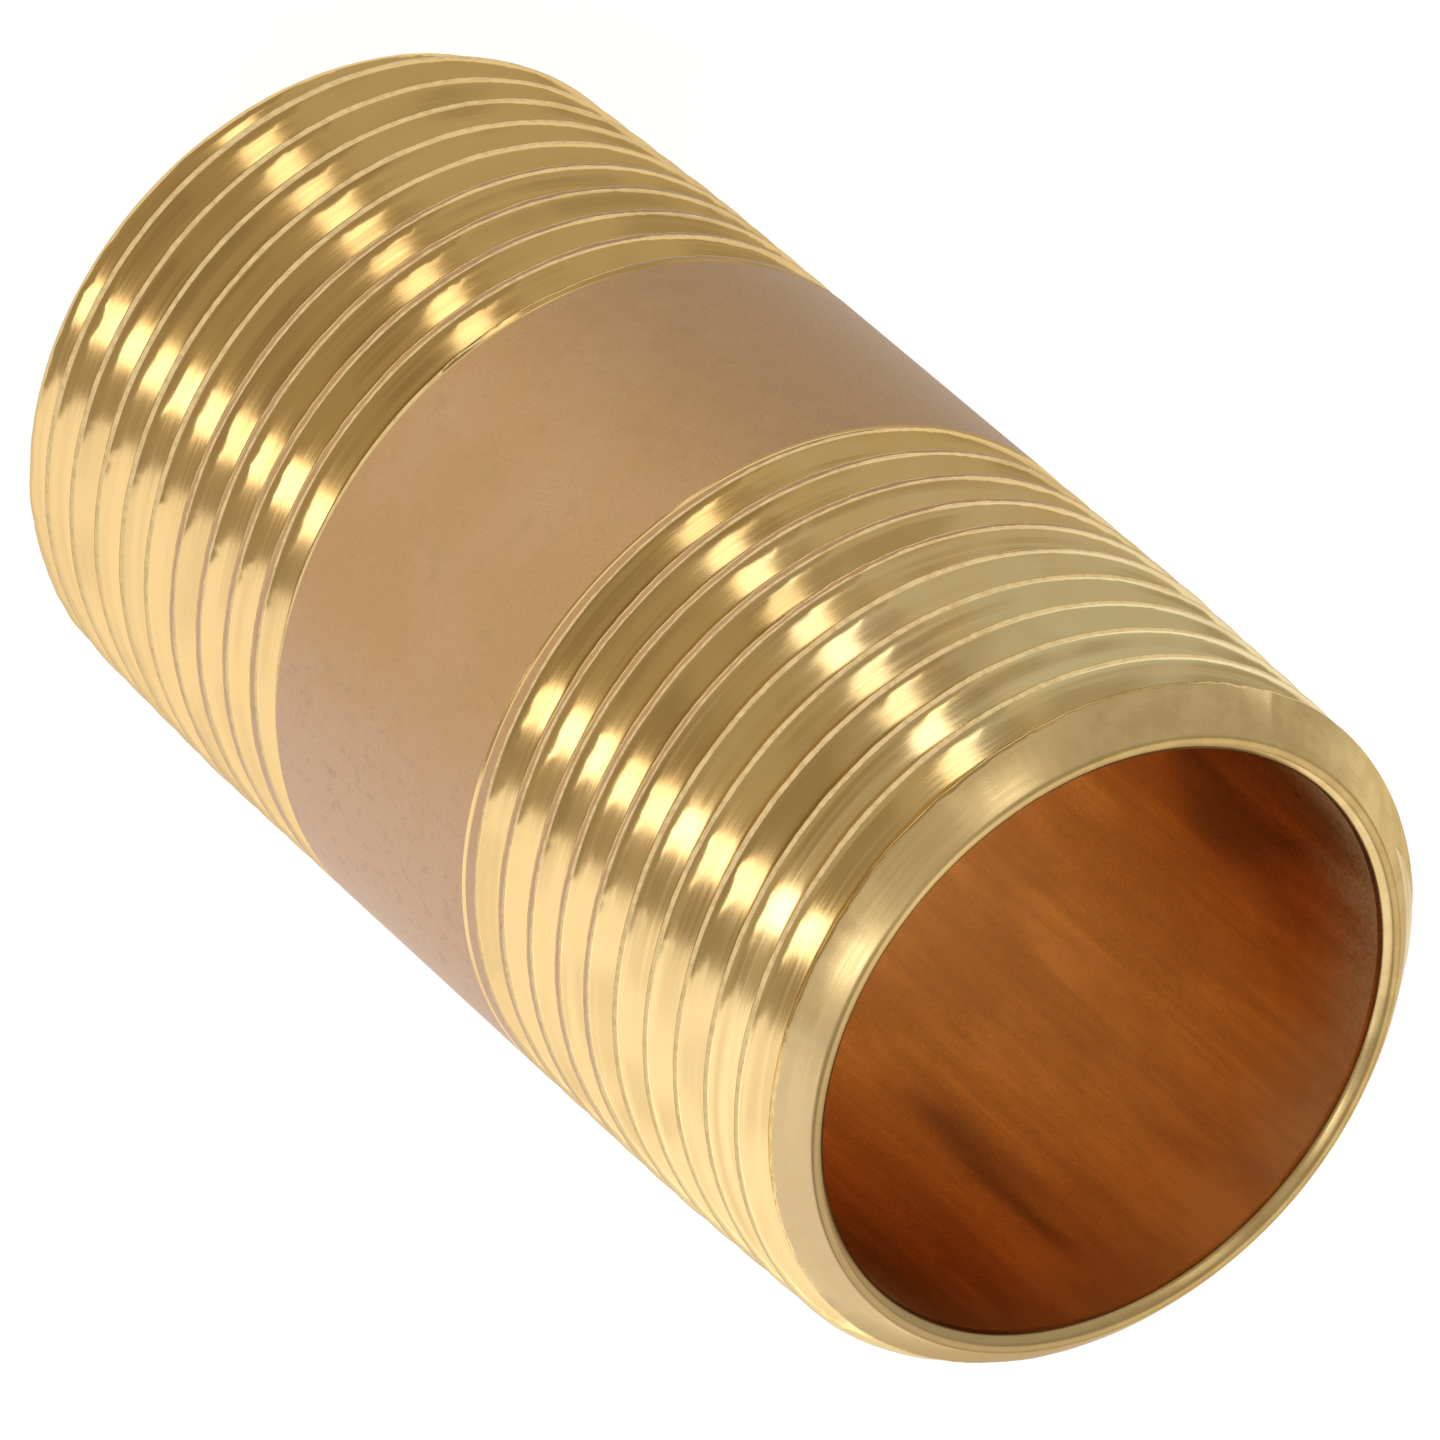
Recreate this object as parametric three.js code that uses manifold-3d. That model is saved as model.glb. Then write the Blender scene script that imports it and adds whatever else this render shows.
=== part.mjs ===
// A 3/4-14 NPT close-coupled pipe nipple: one length of brass pipe with a right-hand taper thread on each end.
// It stands on its lower end face. Origin: centre of that face. +Z runs along the pipe. Millimetres.
import * as THREE from 'three';
import { mergeVertices } from 'three/addons/utils/BufferGeometryUtils.js';
import Module from 'manifold-3d';

// Pipe
const LENGTH = 50.8;
const PIPE_RADIUS = 26.67 / 2;
const BORE_RADIUS = 11.05;

// End faces: a narrow flat ring between the deburred bore and the outer chamfer
const DEBUR_WIDTH = 0.3;
const DEBUR_DEPTH = 0.25;
const FACE_RING_WIDTH = 0.3;

// Taper thread: 14 threads per inch, 60 degree form, 1 in 16 on diameter
const PITCH = 25.4 / 14;
const TAPER = 1 / 32;
const CREST_RADIUS_AT_END = 26.03 / 2;
const THREAD_DEPTH = 1.21;
const ROOT_FLAT = 0.12;
const FLANK_SLOPE = Math.tan(Math.PI / 6);
const CUTTER_HEIGHT = THREAD_DEPTH + 0.18;
const CUTTER_LEAD_IN = 1.1;

// Turned relief ring between the thread and the plain pipe
const RELIEF_DEPTH = 0.12;
const RELIEF_WIDTH = 0.55;
const RELIEF_SLOPE_WIDTH = 0.12;

// Where the groove leaves the pipe: it rises to the surface over this part of a turn
const RUN_OUT_TURNS = 0.5;

// Each end: threaded length, and the angle at which the groove's centre line passes the end face
const LOWER_END = { threadLength: 18.95, startAngle: THREE.MathUtils.degToRad(-59) };
const UPPER_END = { threadLength: 19.5, startAngle: THREE.MathUtils.degToRad(90) };

// The round surfaces are drawn with this many flats
const SEGMENTS = 32;
const CORNER_ANGLE = 2 * Math.PI / SEGMENTS;

const faceInner = BORE_RADIUS + DEBUR_WIDTH;
const faceOuter = faceInner + FACE_RING_WIDTH;
// The 45 degree chamfer ends where it meets the crest cone
const chamferLength = (CREST_RADIUS_AT_END - faceOuter) / (1 - TAPER);
// The crest cone ends where it meets the outside of the pipe
const crestConeLength = (PIPE_RADIUS - CREST_RADIUS_AT_END) / TAPER;

function crestRadius(distance) {
  return CREST_RADIUS_AT_END + distance * TAPER;
}

// Outside and end of one end of the pipe, as [radius, distance from the end face], bore first
function endOutline(threadLength) {
  const reliefFloor = PIPE_RADIUS - RELIEF_DEPTH;
  return [
    [BORE_RADIUS, DEBUR_DEPTH],
    [faceInner, 0],
    [faceOuter, 0],
    [crestRadius(chamferLength), chamferLength],
    [PIPE_RADIUS, crestConeLength],
    [PIPE_RADIUS, threadLength - RELIEF_WIDTH - RELIEF_SLOPE_WIDTH],
    [reliefFloor, threadLength - RELIEF_WIDTH],
    [reliefFloor, threadLength - RELIEF_SLOPE_WIDTH],
    [PIPE_RADIUS, threadLength],
  ];
}

function pipeBlank() {
  const lower = endOutline(LOWER_END.threadLength).map(([r, d]) => new THREE.Vector2(r, d));
  const upper = endOutline(UPPER_END.threadLength).map(([r, d]) => new THREE.Vector2(r, LENGTH - d));
  const outline = [...lower, ...upper.reverse()];
  outline.push(outline[0].clone());
  const geometry = new THREE.LatheGeometry(outline, SEGMENTS);
  // The lathe turns about Y, so this stands its axis up along Z
  geometry.rotateX(Math.PI / 2);
  return geometry;
}

// Centre line of the groove's floor, from outside the end face to the run-out, in the frame of one end:
// the end face is z = 0 and the pipe runs up +Z. Its corners are at the same angles as the pipe's.
class GroovePath extends THREE.Curve {
  constructor(end) {
    super();
    this.startAngle = end.startAngle;
    this.endTurns = end.threadLength / PITCH;
    const firstAngle = end.startAngle - CUTTER_LEAD_IN / PITCH * 2 * Math.PI;
    const lastAngle = end.startAngle + this.endTurns * 2 * Math.PI;
    this.firstCorner = Math.floor(firstAngle / CORNER_ANGLE);
    this.lastCorner = Math.ceil(lastAngle / CORNER_ANGLE);
  }

  getPoint(t) {
    const angle = THREE.MathUtils.lerp(this.firstCorner, this.lastCorner, t) * CORNER_ANGLE;
    const turns = (angle - this.startAngle) / (2 * Math.PI);
    const distance = turns * PITCH;
    const floor = crestRadius(distance) - THREAD_DEPTH;
    const rise = Math.max(0, 1 - (this.endTurns - turns) / RUN_OUT_TURNS);
    const radius = THREE.MathUtils.lerp(floor, PIPE_RADIUS, rise);
    return new THREE.Vector3(radius * Math.cos(angle), radius * Math.sin(angle), distance);
  }

  getPointAt(t) {
    return this.getPoint(t);
  }

  // The section stays in the plane through the pipe's axis: its x is outward and its y is down the pipe
  computeFrenetFrames(steps) {
    const frames = { tangents: [], normals: [], binormals: [] };
    for (let i = 0; i <= steps; i++) {
      const outward = this.getPoint(i / steps).setZ(0).normalize();
      frames.normals.push(outward);
      frames.binormals.push(new THREE.Vector3(0, 0, -1));
      frames.tangents.push(new THREE.Vector3(-outward.y, outward.x, 0));
    }
    return frames;
  }
}

function grooveCutter(end) {
  const floorHalf = ROOT_FLAT / 2;
  const topHalf = floorHalf + CUTTER_HEIGHT * FLANK_SLOPE;
  const section = new THREE.Shape([
    new THREE.Vector2(0, -floorHalf),
    new THREE.Vector2(CUTTER_HEIGHT, -topHalf),
    new THREE.Vector2(CUTTER_HEIGHT, topHalf),
    new THREE.Vector2(0, floorHalf),
  ]);
  const path = new GroovePath(end);
  const steps = path.lastCorner - path.firstCorner;
  return new THREE.ExtrudeGeometry(section, { steps, extrudePath: path });
}

const wasm = await Module();
wasm.setup();

function toSolid(geometry) {
  const bare = geometry.clone();
  bare.deleteAttribute('normal');
  bare.deleteAttribute('uv');
  const merged = mergeVertices(bare, 1e-4);
  return new wasm.Manifold(new wasm.Mesh({
    numProp: 3,
    vertProperties: new Float32Array(merged.attributes.position.array),
    triVerts: new Uint32Array(merged.index.array),
  }));
}

function toGeometry(solid) {
  const mesh = solid.getMesh();
  const geometry = new THREE.BufferGeometry();
  geometry.setAttribute('position', new THREE.BufferAttribute(mesh.vertProperties, 3));
  geometry.setIndex(new THREE.BufferAttribute(mesh.triVerts, 1));
  geometry.computeVertexNormals();
  return geometry;
}

function pipeNipple() {
  const lowerGroove = grooveCutter(LOWER_END);
  const upperGroove = grooveCutter(UPPER_END);
  // Turning an end over keeps its thread right-handed
  upperGroove.rotateX(Math.PI);
  upperGroove.translate(0, 0, LENGTH);
  const solid = toSolid(pipeBlank()).subtract(toSolid(lowerGroove)).subtract(toSolid(upperGroove));
  const brass = new THREE.MeshStandardMaterial({ color: 0xd2ae6d, roughness: 0.3, metalness: 1 });
  const mesh = new THREE.Mesh(toGeometry(solid), brass);
  mesh.name = 'pipe_nipple';
  return mesh;
}

const group = new THREE.Group();
group.add(pipeNipple());

export default group;
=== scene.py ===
"""A 3/4-14 NPT brass pipe nipple in a white studio: a drawn brass pipe with a taper thread cut on each end.

The visible piece is machined here as the real one is. A turned blank has one helical groove cut into each
end. Lengths are in millimetres until a mesh or a light is made, and angles are measured round the pipe
from the side that faces the camera (-Y), positive towards +X.
"""

import math

import bmesh
import bpy
import numpy as np
from mathutils import Matrix, Vector


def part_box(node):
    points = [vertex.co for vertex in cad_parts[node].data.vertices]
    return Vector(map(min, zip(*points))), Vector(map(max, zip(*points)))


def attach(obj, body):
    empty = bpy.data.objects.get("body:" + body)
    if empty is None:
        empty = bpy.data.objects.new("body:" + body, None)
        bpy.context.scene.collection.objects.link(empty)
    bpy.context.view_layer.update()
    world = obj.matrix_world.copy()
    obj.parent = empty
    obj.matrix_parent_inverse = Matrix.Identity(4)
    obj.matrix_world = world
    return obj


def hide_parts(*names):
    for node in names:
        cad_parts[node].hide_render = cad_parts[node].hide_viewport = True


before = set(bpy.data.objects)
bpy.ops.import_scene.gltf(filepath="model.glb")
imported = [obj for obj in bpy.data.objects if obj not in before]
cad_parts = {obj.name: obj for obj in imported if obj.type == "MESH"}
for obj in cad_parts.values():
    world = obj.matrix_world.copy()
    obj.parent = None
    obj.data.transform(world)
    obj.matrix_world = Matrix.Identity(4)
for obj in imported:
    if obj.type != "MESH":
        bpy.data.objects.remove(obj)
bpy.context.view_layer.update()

MM = 0.001
CAD_NODE = "pipe_nipple"

# The pipe, from the frame
node_low, node_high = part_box(CAD_NODE)
LENGTH = (node_high.z - node_low.z) / MM
PIPE_RADIUS = (node_high.x - node_low.x) / 2 / MM
BORE_RADIUS = 11.05

# End faces
DEBUR_WIDTH = 0.3
DEBUR_DEPTH = 0.25
FACE_RING_WIDTH = 0.3

# Taper thread: 14 threads per inch, 1 in 16 on diameter. The flanks are opened beyond the standard 60
# degree form, which lets a studio light reach the whole of each flank.
PITCH = 25.4 / 14
TAPER = 1 / 32
CREST_RADIUS_AT_END = 26.03 / 2
CREST_FLAT = 0.34
ROOT_FLAT = 0.02
FLANK_SLOPE = math.tan(math.radians(42))
THREAD_DEPTH = (PITCH - CREST_FLAT - ROOT_FLAT) / 2 / FLANK_SLOPE
CUTTER_HEIGHT = THREAD_DEPTH + 0.1
# Beyond this rise over the pipe's surface the thread runs straight instead of tapering on
MOST_RISE = 0.05
# The groove rises to the surface over this part of a turn
RUN_OUT_TURNS = 0.5

# Each end: threaded length, and where the groove's centre line passes the end face
LOWER_END = {"thread_length": 18.95, "start_angle": math.radians(31), "seed": 100}
UPPER_END = {"thread_length": 19.5, "start_angle": math.radians(180), "seed": 200}

# Turned relief ring between the thread and the plain pipe. It was cut a little off centre.
RELIEF_DEPTH = 0.085
RELIEF_ECCENTRICITY = 0.045
RELIEF_DEEPEST_ANGLE = math.radians(40)
RELIEF_FLOOR_WIDTH = 0.08
RELIEF_THREAD_SIDE_SLOPE = 1.0
RELIEF_WALL_SIDE_SLOPE = 0.9
# The threaded shell of each end goes this far onto the plain band
SHELL_MARGIN = 0.5

# Points drawn round one turn, for the pipe and the threads alike
SEGMENTS = 312
ANGLES = np.linspace(0, 2 * math.pi, SEGMENTS + 1)

FACE_INNER = BORE_RADIUS + DEBUR_WIDTH
FACE_OUTER = FACE_INNER + FACE_RING_WIDTH
CHAMFER_LENGTH = (CREST_RADIUS_AT_END - FACE_OUTER) / (1 - TAPER)
CREST_CONE_LENGTH = (PIPE_RADIUS - CREST_RADIUS_AT_END) / TAPER

# The end face's corners are broken to this radius
LIP_RADIUS = 0.3
LIP_STEPS = 5
LIP_DISTANCE = LIP_RADIUS * math.tan(math.radians(22.5)) * math.sin(math.radians(45))

# The groove's edges are rounded this far onto the crest, more or less where the metal has torn, and
# further down the flank by the factor given
EDGE_ROUNDING = 0.13
FLANK_ROUNDING = 2.6
TEAR = 0.035
EDGE_STEPS = (0, 0.35, 0.7, 1)
# The rounding takes at most one part in so many of a crest, and at most this share of a flank
CREST_PARTS = 2.2
MOST_FLANK_SHARE = 0.45
# One more row lies further down the flank by this share of it
FLANK_ROW_SHARE = 0.12
# How far those edges stand up in places
BURR = 0.015
CHAMFER_BURR = 0.09
CHAMFER_BURR_REACH = 0.6

# Ragged lines: cells in a turn for the tears, the burrs and the coarse burrs, and the turns they cover
COARSE_TEAR_CELLS = 50
FINE_TEAR_CELLS = 300
BURR_CELLS = 150
CHAMFER_BURR_CELLS = 60
RAGGED_FIRST_TURN = -2
RAGGED_TURNS = 20

WALL_ROWS = 8
BORE_ROWS = 14
# Points nearer than this become one
MERGE_DISTANCE = 0.00002
# The groove counts as cutting where it is at least this deep, which leaves no slivers where it starts
LEAST_CUT = 0.003
# Halvings of a line to find where it leaves the blank
HALVINGS = 24
SHARP_DEGREES = 30

SLOT_WALL, SLOT_THREAD, SLOT_CREST, SLOT_END, SLOT_BORE = range(5)
# Slots of the bands after each row of a groove's edge, from crest to flank and from flank to crest
LOW_EDGE_SLOTS = (SLOT_CREST, SLOT_THREAD, SLOT_THREAD, SLOT_THREAD, SLOT_THREAD)
HIGH_EDGE_SLOTS = (SLOT_THREAD, SLOT_THREAD, SLOT_THREAD, SLOT_CREST, SLOT_CREST)


# Surfaces, in the frame of one end: distance runs from the end face along the pipe

def crest_radius(distance):
    return CREST_RADIUS_AT_END + distance * TAPER


def ragged(turns, cells, seed):
    """A random line from -1 to 1 along the thread, with that many cells in a turn."""
    values = np.random.default_rng(seed).uniform(-1, 1, cells * RAGGED_TURNS)
    return np.interp((turns - RAGGED_FIRST_TURN) * cells, np.arange(len(values)), values)


def relief_depth(angle):
    return RELIEF_DEPTH + RELIEF_ECCENTRICITY * np.cos(angle - RELIEF_DEEPEST_ANGLE)


def relief_floor(end):
    """Where the relief ring's floor starts and stops."""
    stop = end["thread_length"] - RELIEF_DEPTH / RELIEF_WALL_SIDE_SLOPE
    return stop - RELIEF_FLOOR_WIDTH, stop


def blank_radius(end, distance, angle):
    """Radius of the turned blank before its thread is cut, or a negative number past the end face."""
    turned = np.interp(
        distance,
        (0, CHAMFER_LENGTH, CREST_CONE_LENGTH),
        (FACE_OUTER, crest_radius(CHAMFER_LENGTH), PIPE_RADIUS),
        left=-1,
    )
    start, stop = relief_floor(end)
    before = (start - distance) * RELIEF_THREAD_SIDE_SLOPE
    after = (distance - stop) * RELIEF_WALL_SIDE_SLOPE
    relief = PIPE_RADIUS - relief_depth(angle) + np.maximum(0, np.maximum(before, after))
    return np.minimum(turned, relief)


def blank_corners(end, angle):
    """Distances at which the blank's outline turns, at each angle, and the slot of the band after each."""
    start, stop = relief_floor(end)
    depth = relief_depth(angle)
    same = np.ones_like(angle)
    return (
        (LIP_DISTANCE * same, SLOT_END),
        (CHAMFER_LENGTH * same, SLOT_CREST),
        (CREST_CONE_LENGTH * same, SLOT_WALL),
        (start - depth / RELIEF_THREAD_SIDE_SLOPE, SLOT_THREAD),
        (start * same, SLOT_THREAD),
        (stop * same, SLOT_THREAD),
        (stop + depth / RELIEF_WALL_SIDE_SLOPE, SLOT_WALL),
    )


def groove_corners(turns, end):
    """Radii and distances of the groove's four corners at each angle, the end face's side first."""
    distance = turns * PITCH
    full_depth = np.minimum(crest_radius(distance), PIPE_RADIUS + MOST_RISE) - THREAD_DEPTH
    end_turns = end["thread_length"] / PITCH
    rise = np.clip(1 - (end_turns - turns) / RUN_OUT_TURNS, 0, 1)
    floor = full_depth + (PIPE_RADIUS - full_depth) * rise
    top = floor + CUTTER_HEIGHT
    half_floor = ROOT_FLAT / 2
    half_top = half_floor + CUTTER_HEIGHT * FLANK_SLOPE
    distances = (distance - half_top, distance - half_floor, distance + half_floor, distance + half_top)
    return np.stack((top, floor, floor, top)), np.stack(distances)


def trimmed_corners(end, turns):
    """The groove's corners, with those clear of the blank moved to where the groove leaves it."""
    radii, distances = groove_corners(turns, end)
    count = len(radii)
    inside = radii < blank_radius(end, distances, ANGLES) - LEAST_CUT
    first = np.argmax(inside, axis=0)
    last = count - 1 - np.argmax(inside[::-1], axis=0)

    def pick(values, index):
        index = np.clip(index, 0, count - 1)
        return np.take_along_axis(values, index[None], axis=0)[0]

    def leaving_point(kept, dropped):
        """Where the line from a kept point to the dropped one beside it meets the blank, by halving."""
        kept_r, kept_d = pick(radii, kept), pick(distances, kept)
        out_r, out_d = pick(radii, dropped), pick(distances, dropped)
        for _ in range(HALVINGS):
            middle_r, middle_d = (kept_r + out_r) / 2, (kept_d + out_d) / 2
            within = middle_r <= blank_radius(end, middle_d, ANGLES)
            kept_r, kept_d = np.where(within, middle_r, kept_r), np.where(within, middle_d, kept_d)
            out_r, out_d = np.where(within, out_r, middle_r), np.where(within, out_d, middle_d)
        return out_r, out_d

    order = np.arange(count)[:, None]
    for skipped, (edge_r, edge_d) in (
        (order < first, leaving_point(first, first - 1)),
        (order > last, leaving_point(last, last + 1)),
    ):
        radii = np.where(skipped, edge_r, radii)
        distances = np.where(skipped, edge_d, distances)
    cuts = inside.any(axis=0)
    centre = np.clip(turns * PITCH, LIP_DISTANCE, end["thread_length"])
    distances = np.where(cuts, distances, centre)
    radii = np.where(cuts, radii, blank_radius(end, centre, ANGLES))
    return radii, distances


def burr(turns, distance, seed):
    """How far a groove's edge stands up. It is worst where the groove runs out through the chamfer."""
    fine = BURR * np.maximum(0, ragged(turns, BURR_CELLS, seed))
    near_chamfer = np.clip(1 - np.abs(distance - CHAMFER_LENGTH) / CHAMFER_BURR_REACH, 0, 1)
    coarse = CHAMFER_BURR * np.maximum(0, ragged(turns, CHAMFER_BURR_CELLS, seed + 1)) ** 3
    return fine + coarse * near_chamfer


def edge_rows(end, turns, edge, root, crest_width, side):
    """Rows round one edge of a groove, from its flank to its crest.

    side is -1 for the edge nearer the end face and 1 for the other.
    """
    seed = end["seed"] + 10 * side
    torn = TEAR * (ragged(turns, COARSE_TEAR_CELLS, seed) + ragged(turns, FINE_TEAR_CELLS, seed + 1))
    length = np.hypot(root[0] - edge[0], root[1] - edge[1])
    reach = np.minimum(EDGE_ROUNDING + torn, np.minimum(crest_width / CREST_PARTS, length / 2))
    share = FLANK_ROUNDING * reach / np.maximum(length, MERGE_DISTANCE)
    share = np.minimum(share, MOST_FLANK_SHARE)

    def on_flank(part):
        return [e + (r - e) * part for e, r in zip(edge, root)]

    crest_distance = edge[1] + side * reach
    crest = (blank_radius(end, crest_distance, ANGLES), crest_distance)
    lift = burr(turns, edge[1], seed + 2) * np.minimum(1, reach / EDGE_ROUNDING)
    rows = [on_flank(share + FLANK_ROW_SHARE)]
    for step in EDGE_STEPS:
        radius, distance = (
            (1 - step) ** 2 * f + 2 * step * (1 - step) * e + step ** 2 * c
            for f, e, c in zip(on_flank(share), edge, crest)
        )
        rows.append((radius + lift * step * math.sin(math.pi * step), distance))
    return rows


def blank_rows(end, corners, low, high):
    """Rows over the blank from one distance to another, at its own corners."""
    rows = []
    for distance, slot in corners:
        distance = np.clip(distance, low, high)
        rows.append((blank_radius(end, distance, ANGLES), distance, slot))
    return rows


def threaded_shell(end):
    """Rows of (radius, distance, slot of the band after it) round the outside of one end.

    At each angle the rows follow the blank up to a groove, cross the groove, and so on to the plain pipe.
    """
    start_turn = end["start_angle"] / (2 * math.pi)
    first = math.floor(-1 + start_turn)
    last = math.ceil(end["thread_length"] / PITCH + start_turn) + 1
    passes = [ANGLES / (2 * math.pi) - start_turn + passing for passing in range(first, last + 1)]
    grooves = [trimmed_corners(end, turns) for turns in passes]
    same = np.ones_like(ANGLES)
    shell_end = (end["thread_length"] + SHELL_MARGIN) * same
    before = [LIP_DISTANCE * same] + [distances[3] for _, distances in grooves]
    after = [distances[0] for _, distances in grooves[1:]] + [shell_end]
    corners = blank_corners(end, ANGLES)
    rows = []
    crest_start = before[0]
    for turns, (radii, distances), edge_before, edge_after in zip(passes, grooves, before, after):
        low_edge, low_root, high_root, high_edge = zip(radii, distances)
        low_rows = edge_rows(end, turns, low_edge, low_root, low_edge[1] - edge_before, -1)
        high_rows = edge_rows(end, turns, high_edge, high_root, edge_after - high_edge[1], 1)
        rows.extend(blank_rows(end, corners, crest_start, low_rows[-1][1]))
        rows.extend((*row, slot) for row, slot in zip(low_rows[::-1], LOW_EDGE_SLOTS))
        rows.extend((*row, SLOT_THREAD) for row in (low_root, high_root))
        rows.extend((*row, slot) for row, slot in zip(high_rows, HIGH_EDGE_SLOTS))
        crest_start = high_rows[-1][1]
    rows.extend(blank_rows(end, corners, crest_start, shell_end))
    rows.append((PIPE_RADIUS * same, shell_end, SLOT_WALL))
    return rows


# The mesh

class MeshParts:
    """Points, faces and slots of grids that go once round the pipe. Equal points are merged at the end."""

    def __init__(self):
        self.points = []
        self.faces = []
        self.slots = []

    def add_rows(self, rows, flip=False):
        """Rows of (radius, height, slot of the band above). flip turns the rows end over end."""
        start = len(self.points)
        width = SEGMENTS + 1
        for radius, height, _ in rows:
            x = radius * np.sin(ANGLES)
            y = -radius * np.cos(ANGLES)
            z = height + 0 * ANGLES
            if flip:
                y, z = -y, LENGTH - z
            self.points.extend(zip(x * MM, y * MM, z * MM))
        for row in range(len(rows) - 1):
            low = start + row * width
            for column in range(SEGMENTS):
                corner = low + column
                self.faces.append((corner, corner + 1, corner + 1 + width, corner + width))
            self.slots.extend([rows[row][2]] * SEGMENTS)

    def finished_mesh(self, name):
        mesh = bpy.data.meshes.new(name)
        mesh.from_pydata(self.points, [], self.faces)
        mesh.polygons.foreach_set("material_index", self.slots)
        sheet = bmesh.new()
        sheet.from_mesh(mesh)
        bmesh.ops.remove_doubles(sheet, verts=sheet.verts, dist=MERGE_DISTANCE * MM)
        sheet.to_mesh(mesh)
        sheet.free()
        mesh.polygons.foreach_set("use_smooth", [True] * len(mesh.polygons))
        mesh.set_sharp_from_angle(angle=math.radians(SHARP_DEGREES))
        return mesh


def rings(radius, heights, slot):
    return [(radius, height, slot) for height in heights]


def rounded(points, radius, steps):
    """The outline through points, as (x, y), with an arc of that radius in place of each inner corner."""
    outline = [Vector(points[0])]
    for before, corner, after in zip(points, points[1:], points[2:]):
        corner = Vector(corner)
        back = (Vector(before) - corner).normalized()
        ahead = (Vector(after) - corner).normalized()
        half = back.angle(ahead) / 2
        centre = corner + (back + ahead).normalized() * radius / math.sin(half)
        start = corner + back * radius / math.tan(half) - centre
        end = corner + ahead * radius / math.tan(half) - centre
        for step in range(steps + 1):
            outline.append(centre + start.slerp(end, step / steps) * radius)
    outline.append(Vector(points[-1]))
    return outline


def lip_rows():
    """The end face between the bore and the chamfer, bore first, with its corners broken."""
    outline = rounded([
        (BORE_RADIUS, DEBUR_DEPTH + LIP_RADIUS),
        (BORE_RADIUS, DEBUR_DEPTH),
        (FACE_INNER, 0),
        (FACE_OUTER, 0),
        (FACE_OUTER + LIP_RADIUS, LIP_RADIUS),
    ], LIP_RADIUS, LIP_STEPS)
    return [(radius, distance, SLOT_END) for radius, distance in outline[:-1]]


def nipple_mesh():
    parts = MeshParts()
    parts.add_rows(threaded_shell(LOWER_END))
    parts.add_rows(threaded_shell(UPPER_END), flip=True)
    wall_low = LOWER_END["thread_length"] + SHELL_MARGIN
    wall_high = LENGTH - UPPER_END["thread_length"] - SHELL_MARGIN
    parts.add_rows(rings(PIPE_RADIUS, np.linspace(wall_low, wall_high, WALL_ROWS), SLOT_WALL))
    bore_end = DEBUR_DEPTH + LIP_RADIUS
    parts.add_rows(rings(BORE_RADIUS, np.linspace(LENGTH - bore_end, bore_end, BORE_ROWS), SLOT_BORE))
    parts.add_rows(lip_rows())
    parts.add_rows(lip_rows(), flip=True)
    return parts.finished_mesh("nipple_body")


# Materials

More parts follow.
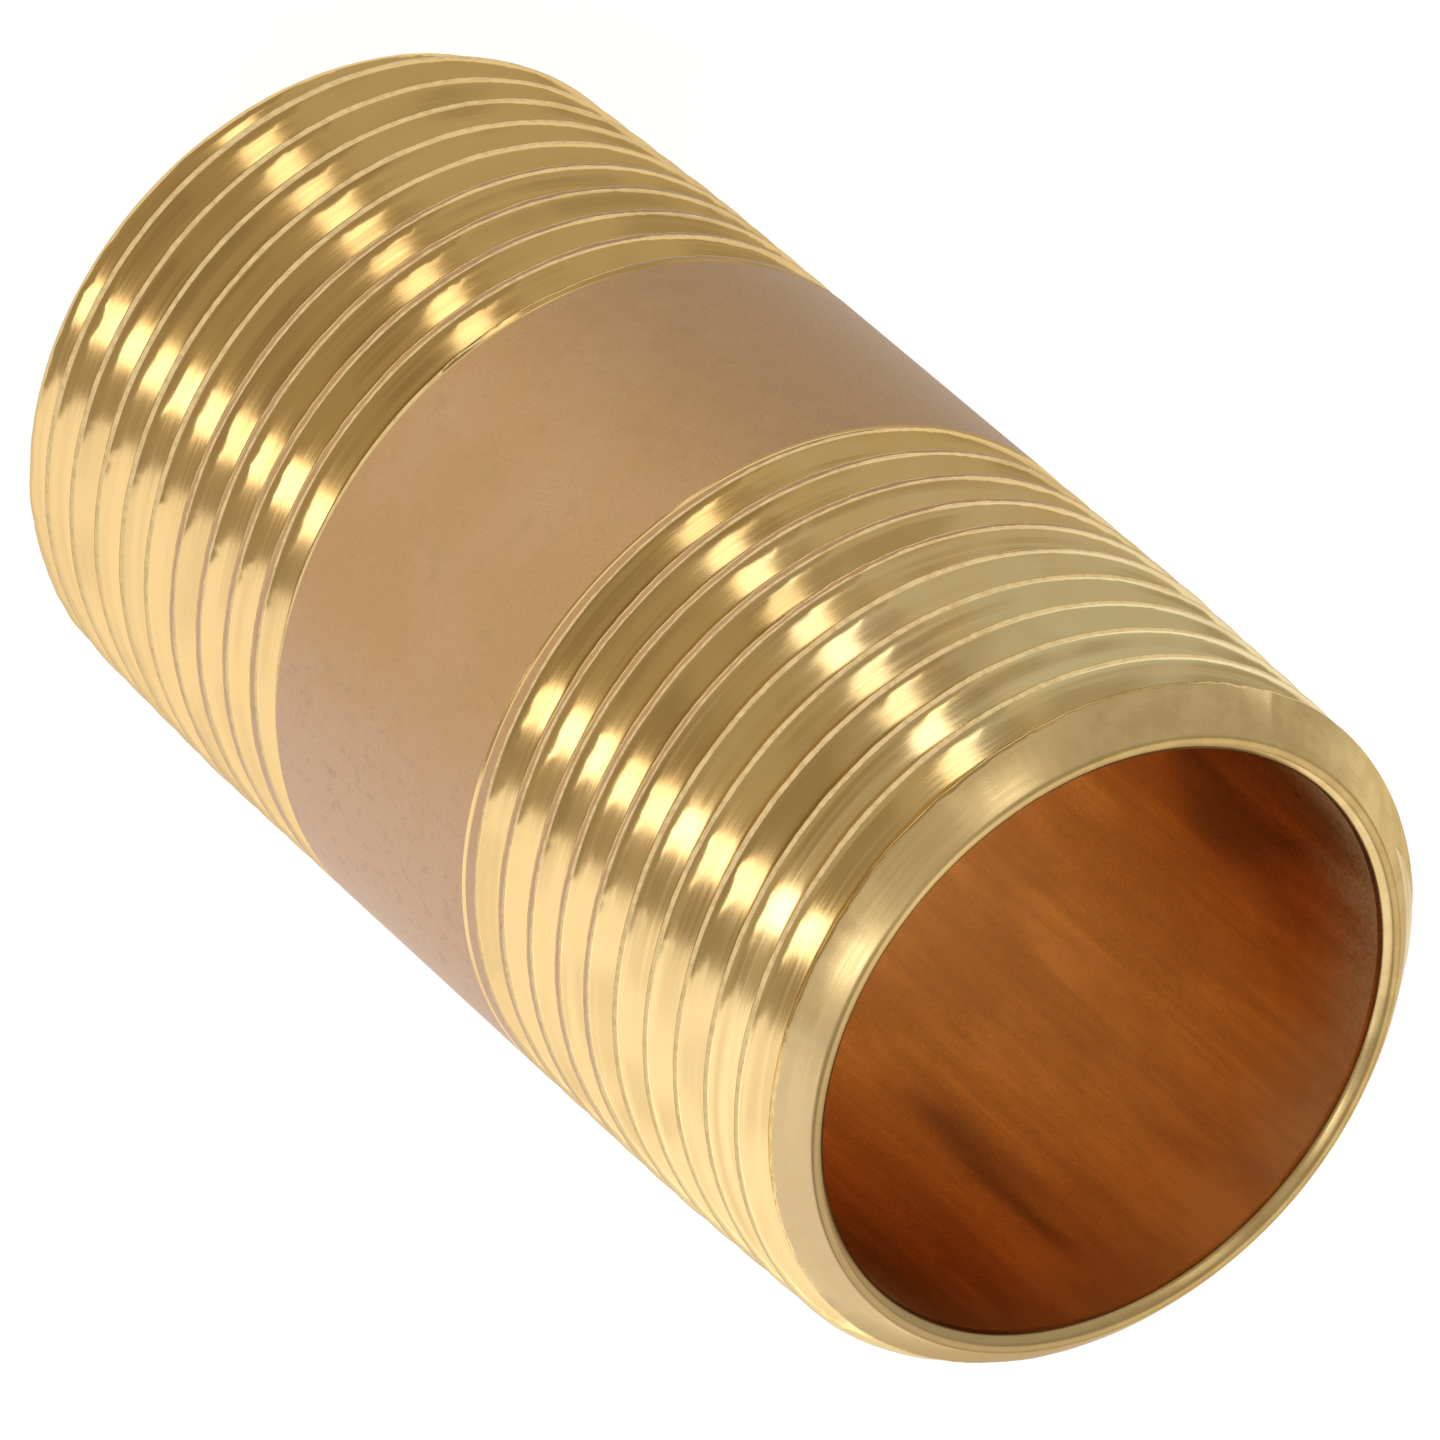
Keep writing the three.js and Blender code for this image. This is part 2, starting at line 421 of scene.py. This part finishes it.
class BrassNodes:
    """A metal material and short calls for the nodes that vary it. Coordinates are in millimetres.

    edge_tint colours its glancing reflections, which tarnish keeps from turning white.
    """

    def __init__(self, name, edge_tint=(1, 1, 1)):
        self.material = bpy.data.materials.new(name)
        self.material.use_nodes = True
        self.tree = self.material.node_tree
        self.shader = self.tree.nodes["Principled BSDF"]
        self.shader.inputs["Metallic"].default_value = 1
        self.shader.inputs["Specular Tint"].default_value = (*edge_tint, 1)
        place = self.node("ShaderNodeTexCoord").outputs["Object"]
        scaled = self.node("ShaderNodeVectorMath", operation="SCALE")
        self.tree.links.new(place, scaled.inputs[0])
        scaled.inputs["Scale"].default_value = 1 / MM
        split = self.node("ShaderNodeSeparateXYZ")
        self.tree.links.new(scaled.outputs[0], split.inputs[0])
        self.x, self.y, self.z = split.outputs
        self.place = scaled.outputs[0]

    def node(self, kind, **settings):
        made = self.tree.nodes.new(kind)
        for name, value in settings.items():
            setattr(made, name, value)
        return made

    def plug(self, socket, value):
        """Links a node's output to socket, or sets the socket to a plain value."""
        if isinstance(value, bpy.types.NodeSocket):
            self.tree.links.new(value, socket)
        else:
            socket.default_value = value

    def math(self, operation, first, second=0.0):
        made = self.node("ShaderNodeMath", operation=operation)
        self.plug(made.inputs[0], first)
        self.plug(made.inputs[1], second)
        return made.outputs[0]

    def vector(self, x, y, z):
        made = self.node("ShaderNodeCombineXYZ")
        for socket, value in zip(made.inputs, (x, y, z)):
            self.plug(socket, value)
        return made.outputs[0]

    def noise(self, place, scale, detail=3.0, roughness=0.5):
        """Noise between about 0.25 and 0.75 with cells 1 / scale wide."""
        made = self.node("ShaderNodeTexNoise")
        self.plug(made.inputs["Vector"], place)
        made.inputs["Scale"].default_value = scale
        made.inputs["Detail"].default_value = detail
        made.inputs["Roughness"].default_value = roughness
        return made.outputs["Fac"]

    def spread(self, value, low, high, to_low=0.0, to_high=1.0):
        """value with low to high stretched smoothly to to_low to to_high."""
        made = self.node("ShaderNodeMapRange", interpolation_type="SMOOTHSTEP")
        self.plug(made.inputs["Value"], value)
        made.inputs["From Min"].default_value = low
        made.inputs["From Max"].default_value = high
        made.inputs["To Min"].default_value = to_low
        made.inputs["To Max"].default_value = to_high
        return made.outputs["Result"]

    def blend(self, factor, first, second):
        """A colour between first and second."""
        made = self.node("ShaderNodeMix", data_type="RGBA")
        self.plug(made.inputs["Factor"], factor)
        for socket, colour in ((made.inputs[6], first), (made.inputs[7], second)):
            self.plug(socket, colour if isinstance(colour, bpy.types.NodeSocket) else (*colour, 1))
        return made.outputs[2]

    def bump(self, height, distance, normal=None):
        """Height between 0 and 1 raised by distance millimetres."""
        made = self.node("ShaderNodeBump")
        self.plug(made.inputs["Height"], height)
        made.inputs["Distance"].default_value = distance * MM
        made.inputs["Strength"].default_value = 1
        if normal is not None:
            self.tree.links.new(normal, made.inputs["Normal"])
        return made.outputs["Normal"]

    def finish(self, colour, roughness, normal):
        self.plug(self.shader.inputs["Base Color"], colour)
        self.plug(self.shader.inputs["Roughness"], roughness)
        self.tree.links.new(normal, self.shader.inputs["Normal"])
        return self.material


def helix_place(nodes, along_scale):
    """Coordinates that follow the threads: alike along a thread, different across it, with no seam."""
    angle = nodes.math("ARCTAN2", nodes.x, nodes.math("MULTIPLY", nodes.y, -1.0))
    phase = nodes.math("SUBTRACT", nodes.math("MULTIPLY", nodes.z, 2 * math.pi / PITCH), angle)
    radius = PITCH / (2 * math.pi)
    across_x = nodes.math("MULTIPLY", nodes.math("COSINE", phase), radius)
    across_y = nodes.math("MULTIPLY", nodes.math("SINE", phase), radius)
    return nodes.vector(across_x, across_y, nodes.math("MULTIPLY", nodes.z, along_scale))


def thread_brass():
    """Bright cut flanks with tool marks and smears along the thread, browner towards the lower end."""
    nodes = BrassNodes("cut_brass", (0.85, 0.78, 0.65))
    marks = nodes.noise(helix_place(nodes, 0.25), 14, 2)
    bands = nodes.noise(helix_place(nodes, 0.12), 2.2, 1)
    smear = nodes.noise(nodes.place, 0.35, 3, 0.6)
    colour = nodes.blend(nodes.spread(bands, 0.35, 0.65), (0.93, 0.71, 0.33), (0.97, 0.77, 0.40))
    olive = nodes.math("ADD", nodes.math("MULTIPLY", nodes.x, -0.04), smear)
    colour = nodes.blend(nodes.spread(olive, 0.45, 0.85, 0, 0.8), colour, (0.84, 0.74, 0.46))
    up = nodes.math("ADD", nodes.z, nodes.math("MULTIPLY", smear, 12.0))
    colour = nodes.blend(nodes.spread(up, 34, 54, 0.9, 0), colour, (0.75, 0.52, 0.21))
    streaks = nodes.noise(helix_place(nodes, 0.5), 2.4, 3, 0.55)
    smudges = nodes.noise(nodes.place, 0.26, 1, 0.4)
    smeared = nodes.math("MULTIPLY", nodes.spread(streaks, 0.41, 0.59),
                         nodes.spread(smudges, 0.36, 0.62, 0.05, 0.6))
    colour = nodes.blend(smeared, colour, (0.48, 0.32, 0.12))
    # Painted sheen: the +X side, facing the bright right panel, is paler, to whiten its reflection
    right = nodes.spread(nodes.x, 2, 9, 0, 0.5)
    colour = nodes.blend(right, colour, (0.78, 0.60, 0.34))
    rough = nodes.spread(marks, 0.3, 0.7, 0.11, 0.17)
    normal = nodes.bump(marks, 0.0008)
    return nodes.finish(colour, rough, normal)


def wall_brass():
    """The drawn outside of the pipe: dull, pinkish and faintly mottled, with fine streaks along it."""
    nodes = BrassNodes("drawn_brass")
    clouds = nodes.noise(nodes.place, 0.16, 3)
    mottle = nodes.noise(nodes.place, 1.1, 4, 0.6)
    streaks = nodes.noise(nodes.vector(nodes.x, nodes.y, nodes.math("MULTIPLY", nodes.z, 0.08)), 5, 3)
    grain = nodes.noise(nodes.place, 9, 3, 0.65)
    clouded = nodes.spread(clouds, 0.4, 0.62, 0, 0.7)
    colour = nodes.blend(clouded, (0.525, 0.315, 0.14), (0.545, 0.342, 0.178))
    colour = nodes.blend(nodes.spread(mottle, 0.5, 0.75, 0, 0.35), colour, (0.42, 0.29, 0.14))
    # The +X side has a pinker tarnish, and the -X side is painted darker, as shade
    side = nodes.math("ADD", nodes.x, nodes.math("MULTIPLY", mottle, 4.0))
    colour = nodes.blend(nodes.spread(side, 7.0, 13.0, 0, 0.9), colour, (0.57, 0.38, 0.26))
    colour = nodes.blend(nodes.spread(side, -9.5, 0.5, 0.95, 0), colour, (0.34, 0.205, 0.095))
    spots = nodes.noise(nodes.place, 1.7, 5, 0.7)
    stains = nodes.math("MULTIPLY", nodes.spread(spots, 0.52, 0.68, 0, 0.6), nodes.spread(side, 6.0, 13.0))
    colour = nodes.blend(stains, colour, (0.40, 0.29, 0.17))
    rough = nodes.spread(grain, 0.3, 0.7, 0.42, 0.55)
    normal = nodes.bump(streaks, 0.003)
    normal = nodes.bump(grain, 0.002, normal=normal)
    return nodes.finish(colour, rough, normal)


def crest_brass():
    """The turned crests near each end and the groove's edges, torn a little by the thread tool."""
    nodes = BrassNodes("crest_brass", (0.8, 0.72, 0.58))
    tears = nodes.noise(nodes.place, 3, 3, 0.6)
    colour = nodes.blend(nodes.spread(tears, 0.4, 0.65), (0.72, 0.54, 0.27), (0.60, 0.44, 0.21))
    rough = nodes.spread(tears, 0.3, 0.7, 0.13, 0.22)
    normal = nodes.bump(tears, 0.008)
    return nodes.finish(colour, rough, normal)


def end_brass():
    """The chamfer and end face, turned, so their marks run round the pipe. The front, towards -Y, is
    painted brighter as light, and the +X side painted darker as shade.
    """
    nodes = BrassNodes("faced_brass", (0.7, 0.58, 0.42))
    squares = (nodes.math("MULTIPLY", nodes.x, nodes.x), nodes.math("MULTIPLY", nodes.y, nodes.y))
    radius = nodes.math("SQRT", nodes.math("ADD", *squares))
    slow_x, slow_y = (nodes.math("MULTIPLY", value, 0.03) for value in (nodes.x, nodes.y))
    around = nodes.vector(slow_x, slow_y, radius)
    marks = nodes.noise(around, 9, 3, 0.6)
    smear = nodes.noise(nodes.place, 0.9, 3, 0.6)
    colour = nodes.blend(nodes.spread(smear, 0.35, 0.65), (0.65, 0.50, 0.25), (0.74, 0.59, 0.31))
    # Painted shade: the +X side is darker, to dim the right light's reflection there
    side = nodes.math("ADD", nodes.x, nodes.math("MULTIPLY", smear, 4.0))
    colour = nodes.blend(nodes.spread(side, 5, 13, 0, 0.85), colour, (0.53, 0.41, 0.24))
    # Painted light: the front, towards -Y, is brighter, standing in for a light in front of it
    front = nodes.math("ADD", nodes.y, nodes.math("MULTIPLY", smear, 1.2))
    colour = nodes.blend(nodes.spread(front, -11.5, -9.2, 0.85, 0), colour, (0.94, 0.76, 0.42))
    rough = nodes.spread(marks, 0.3, 0.7, 0.24, 0.33)
    normal = nodes.bump(marks, 0.001)
    return nodes.finish(colour, rough, normal)


def bore_brass():
    """The drawn bore: dark orange, with long streaks down the pipe, two darker patches and paler, duller
    mouths.
    """
    nodes = BrassNodes("bore_brass")
    streak_place = nodes.vector(nodes.x, nodes.y, nodes.math("MULTIPLY", nodes.z, 0.05))
    patch_place = nodes.vector(nodes.x, nodes.y, nodes.math("MULTIPLY", nodes.z, 0.3))
    streaks = nodes.noise(streak_place, 1.3, 5, 0.65)
    patches = nodes.noise(patch_place, 0.35, 4, 0.6)
    grain = nodes.noise(nodes.place, 7, 3, 0.6)
    colour = nodes.blend(nodes.spread(patches, 0.36, 0.62), (0.62, 0.33, 0.12), (0.82, 0.46, 0.16))
    colour = nodes.blend(nodes.spread(streaks, 0.42, 0.66, 0, 0.6), colour, (0.53, 0.29, 0.11))
    # Two long darker patches below the upper mouth, on either side of the bore's back. Each row is the
    # middle and half width across, and the depths where it starts and stops.
    soft = nodes.noise(patch_place, 0.3, 1.5)
    wander = nodes.math("MULTIPLY", nodes.math("SUBTRACT", soft, 0.5), 7.0)
    aside = nodes.math("ADD", nodes.x, wander)
    depth = nodes.math("SUBTRACT", LENGTH, nodes.math("ADD", nodes.z, wander))
    for middle, half_width, start, stop in ((6.6, 1.5, 2, 15), (-8.6, 2.0, 3, 14)):
        across = nodes.math("ABSOLUTE", nodes.math("SUBTRACT", aside, middle))
        along = nodes.math("ABSOLUTE", nodes.math("SUBTRACT", depth, (start + stop) / 2))
        inside = nodes.math("MULTIPLY", nodes.spread(across, 0, half_width, 1, 0),
                            nodes.spread(along, (stop - start) / 4, (stop - start) / 2, 0.85, 0))
        colour = nodes.blend(inside, colour, (0.30, 0.15, 0.07))
    from_middle = nodes.math("ABSOLUTE", nodes.math("SUBTRACT", nodes.z, LENGTH / 2))
    near_mouth = nodes.math("ADD", from_middle, nodes.math("MULTIPLY", patches, 6.0))
    mouth = nodes.spread(near_mouth, 23, 29, 0, 0.8)
    mouth = nodes.math("MULTIPLY", mouth, nodes.spread(aside, -9, 2, 1, 0.25))
    colour = nodes.blend(mouth, colour, (0.86, 0.72, 0.46))
    rough = nodes.math("ADD", nodes.spread(grain, 0.3, 0.7, 0.26, 0.4), nodes.math("MULTIPLY", mouth, 0.25))
    return nodes.finish(colour, rough, nodes.bump(streaks, 0.015))


def make_nipple():
    mesh = nipple_mesh()
    nipple = bpy.data.objects.new("nipple_body", mesh)
    bpy.context.collection.objects.link(nipple)
    # In the order of the slot numbers
    for material in (wall_brass(), thread_brass(), crest_brass(), end_brass(), bore_brass()):
        mesh.materials.append(material)
    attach(nipple, "root")
    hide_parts(CAD_NODE)


# Studio

CENTRE = Vector((0, 0, LENGTH / 2)) * MM

# Metres, from the pipe's centre. The camera looks down at 45 degrees from -Y.
CAMERA_PLACE = Vector((0, -0.39167, 0.39801))
CAMERA_AIM = Vector((0.00036, 0.00068, 0.00067))
CAMERA_ROLL = math.radians(131.28)
CAMERA_LENS = 407.15
CAMERA_SENSOR = 36

WORLD_COLOUR = (1, 0.84, 0.60)
WORLD_STRENGTH = 0.425

# Upright strip lights beside the camera: name, distance aside, width and radiance
STRIP_Y = -0.344
STRIP_Z = 0.5
STRIP_HEIGHT = 0.38
STRIP_COLOUR = (1, 0.94, 0.88)
STRIPS = (
    ("right_strip", 0.2217, 0.1, 2.6),
    ("left_strip", -0.2796, 0.092, 1.75),
)

# Panels: name, place, the point each faces, width, height, radiance and colour
PANELS = (
    ("right_panel", (0.6, 0.31, 0.30), (0, 0.31, 0.30), 1.4, 0.68, 0.84, (1, 1, 1)),
    ("left_panel", (-0.6, 0.2, 0.30), (0, 0.2, 0.30), 1.4, 0.68, 0.16, (0.9, 1, 1)),
    ("back_panel", (0, 0.8, 0.12), (0, 0, 0.12), 1.4, 0.3, 0.5, (1, 0.9, 0.76)),
    ("top_panel", (0, 0.6, 0.6), (0, 0, 0), 0.6, 0.5, 0.5, (1, 0.9, 0.72)),
)

FLOOR_HALF = 3.0
FLOOR_GLOW = 0.93
FLOOR_GREY = 0.2


def make_floor():
    corners = [(x * FLOOR_HALF, y * FLOOR_HALF, 0) for x, y in ((-1, -1), (1, -1), (1, 1), (-1, 1))]
    mesh = bpy.data.meshes.new("floor")
    mesh.from_pydata(corners, [], [(0, 1, 2, 3)])
    floor = bpy.data.objects.new("floor", mesh)
    bpy.context.collection.objects.link(floor)
    material = bpy.data.materials.new("lit_white_table")
    material.use_nodes = True
    shader = material.node_tree.nodes["Principled BSDF"]
    shader.inputs["Base Color"].default_value = (FLOOR_GREY, FLOOR_GREY, FLOOR_GREY, 1)
    shader.inputs["Roughness"].default_value = 0.9
    shader.inputs["Specular IOR Level"].default_value = 0
    shader.inputs["Emission Color"].default_value = (1, 1, 1, 1)
    shader.inputs["Emission Strength"].default_value = FLOOR_GLOW
    mesh.materials.append(material)


def panel(name, place, target, width, height, radiance, colour):
    """A rectangular light of that size, facing target. Its height is the more upright side."""
    data = bpy.data.lights.new(name, "AREA")
    data.shape = "RECTANGLE"
    data.size = width
    data.size_y = height
    data.energy = radiance * math.pi * width * height
    data.color = colour
    light = bpy.data.objects.new(name, data)
    bpy.context.collection.objects.link(light)
    light.location = place
    light.rotation_euler = (target - place).to_track_quat("-Z", "Y").to_euler()
    light.visible_camera = False


def make_lights():
    world = bpy.data.worlds.new("studio")
    world.use_nodes = True
    background = world.node_tree.nodes["Background"]
    background.inputs["Color"].default_value = (*WORLD_COLOUR, 1)
    background.inputs["Strength"].default_value = WORLD_STRENGTH
    bpy.context.scene.world = world
    for name, aside, width, radiance in STRIPS:
        place = CENTRE + Vector((aside, STRIP_Y, STRIP_Z))
        level_target = Vector((CENTRE.x, CENTRE.y, place.z))
        panel(name, place, level_target, width, STRIP_HEIGHT, radiance, STRIP_COLOUR)
    for name, place, target, width, height, radiance, colour in PANELS:
        panel(name, CENTRE + Vector(place), CENTRE + Vector(target), width, height, radiance, colour)


def make_camera():
    """A long lens, rolled so that the upright pipe lies on a slant in the picture."""
    data = bpy.data.cameras.new("camera")
    data.sensor_width = CAMERA_SENSOR
    data.lens = CAMERA_LENS
    data.clip_start = 0.01
    camera = bpy.data.objects.new("camera", data)
    bpy.context.collection.objects.link(camera)
    place = CENTRE + CAMERA_PLACE
    look = (CENTRE + CAMERA_AIM - place).to_track_quat("-Z", "Y").to_matrix().to_4x4()
    camera.matrix_world = Matrix.Translation(place) @ look @ Matrix.Rotation(CAMERA_ROLL, 4, "Z")
    bpy.context.scene.camera = camera


bpy.context.scene.view_settings.view_transform = "Standard"
make_camera()
make_lights()
make_floor()
make_nipple()
